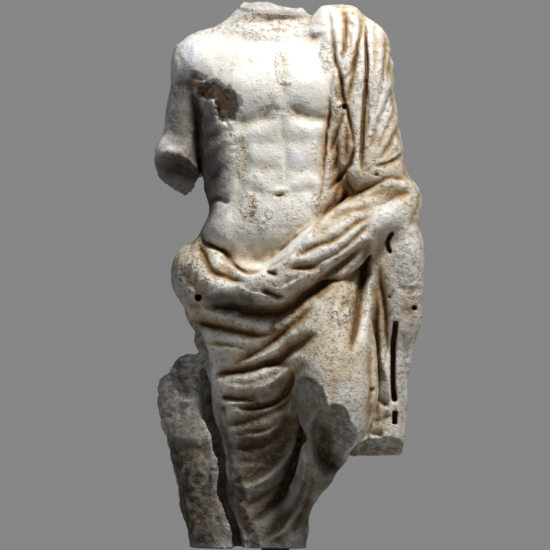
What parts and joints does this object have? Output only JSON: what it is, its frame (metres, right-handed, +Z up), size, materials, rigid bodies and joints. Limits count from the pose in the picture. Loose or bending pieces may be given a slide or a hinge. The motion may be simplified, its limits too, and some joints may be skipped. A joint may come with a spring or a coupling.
{
  "type": "roman marble statue",
  "caption": "Headless draped male marble torso fragment with an arm stump and a broken support, held on a steel post in a low base.",
  "frame": {"origin": "centre of the base's underside", "axes": "+Z up, the figure faces -Y, +X to the viewer's right"},
  "size_m": [0.3794, 0.24, 0.8483],
  "materials": {
    "marble": "weathered white marble with warm patina and brown soil in the valleys",
    "black_steel": "satin black steel",
    "black_paint": "matt black coating"
  },
  "bodies": {
    "root": {"marble_figure": "marble", "mount_post": "black_steel", "mount_base": "black_paint"}
  },
  "joints": []
}
